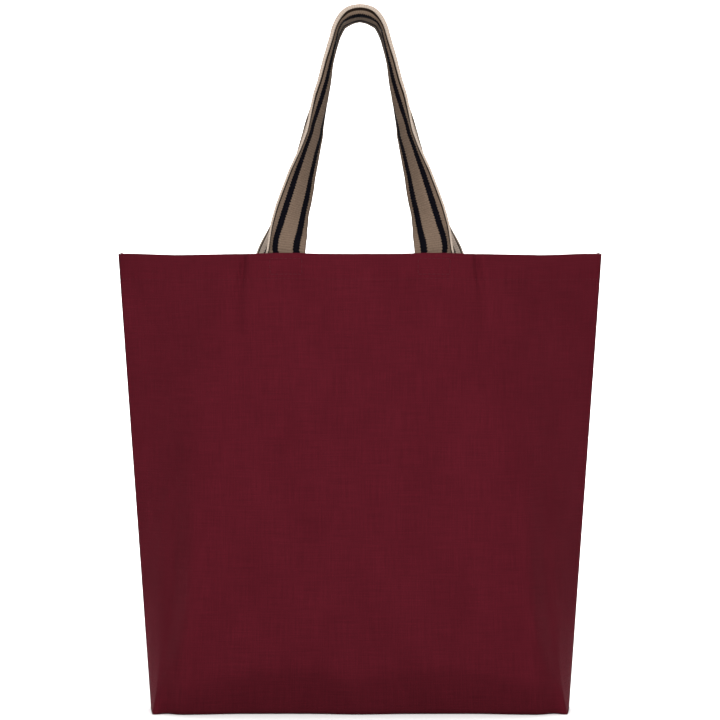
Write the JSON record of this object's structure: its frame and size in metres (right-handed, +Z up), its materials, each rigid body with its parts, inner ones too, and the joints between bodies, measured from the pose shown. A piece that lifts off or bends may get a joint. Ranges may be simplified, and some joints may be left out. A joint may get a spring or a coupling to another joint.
{
  "type": "tote bag",
  "caption": "Boxed-bottom canvas tote bag with a turned hem and two striped webbing handles that fold at the hem.",
  "frame": {"origin": "on the floor under the middle of the base", "axes": "+Z up; the front panel faces -Y; +X to the right seen from the front"},
  "size_m": [0.45, 0.1385, 0.6521],
  "materials": {
    "canvas": "matt plain-weave burgundy cotton",
    "webbing": "ribbed cotton webbing, tan with two navy-black stripes",
    "canvas_thread": "burgundy sewing thread"
  },
  "bodies": {
    "bag": {"front_panel": "canvas", "rear_panel": "canvas", "front_handle_left_end": "webbing", "front_handle_right_end": "webbing", "rear_handle_left_end": "webbing", "rear_handle_right_end": "webbing", "front_hem_stitching": "canvas_thread", "rear_hem_stitching": "canvas_thread", "left_side_stitching": "canvas_thread", "right_side_stitching": "canvas_thread", "base_stitching": "canvas_thread", "left_corner_stitching": "canvas_thread", "right_corner_stitching": "canvas_thread", "front_left_handle_stitching": "canvas_thread", "front_right_handle_stitching": "canvas_thread", "rear_left_handle_stitching": "canvas_thread", "rear_right_handle_stitching": "canvas_thread"},
    "front_loop": {"front_handle": "webbing"},
    "rear_loop": {"rear_handle": "webbing"}
  },
  "joints": [
    {"name": "front_handle_fold", "type": "hinge", "parent": "bag", "child": "front_loop", "pos_m": [0, -0.0695, 0.421], "axis": [1, 0, 0], "range_deg": [0, 178]},
    {"name": "rear_handle_fold", "type": "hinge", "parent": "bag", "child": "rear_loop", "pos_m": [0, 0.0695, 0.421], "axis": [-1, 0, 0], "range_deg": [0, 178]}
  ]
}
